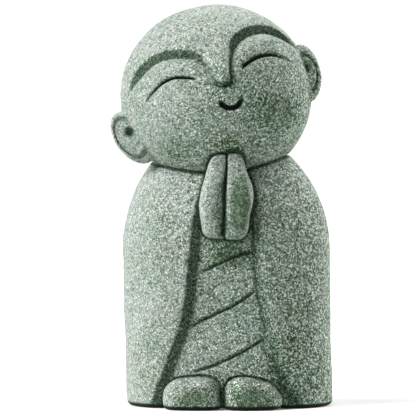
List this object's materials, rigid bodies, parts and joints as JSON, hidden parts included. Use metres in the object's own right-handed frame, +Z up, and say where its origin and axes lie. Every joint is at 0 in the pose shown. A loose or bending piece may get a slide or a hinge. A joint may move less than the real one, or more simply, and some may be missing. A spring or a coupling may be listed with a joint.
{
  "type": "stone jizo statue",
  "caption": "Small carved stone figure of a round-headed child monk in a plain robe, hands joined, eyes closed, head leaning to one side.",
  "frame": {"origin": "on the flat underside, under the middle of the figure's overall width and depth", "axes": "+Z up, -Y towards the viewer the figure faces, and the head leans towards -X"},
  "size_m": [0.099, 0.0842, 0.1795],
  "materials": {
    "stone": "fine bush-hammered grey-green granite, matte, with white and dark green grains and a light green patina low down"
  },
  "bodies": {
    "root": {"jizo_statue": "stone"}
  },
  "joints": []
}
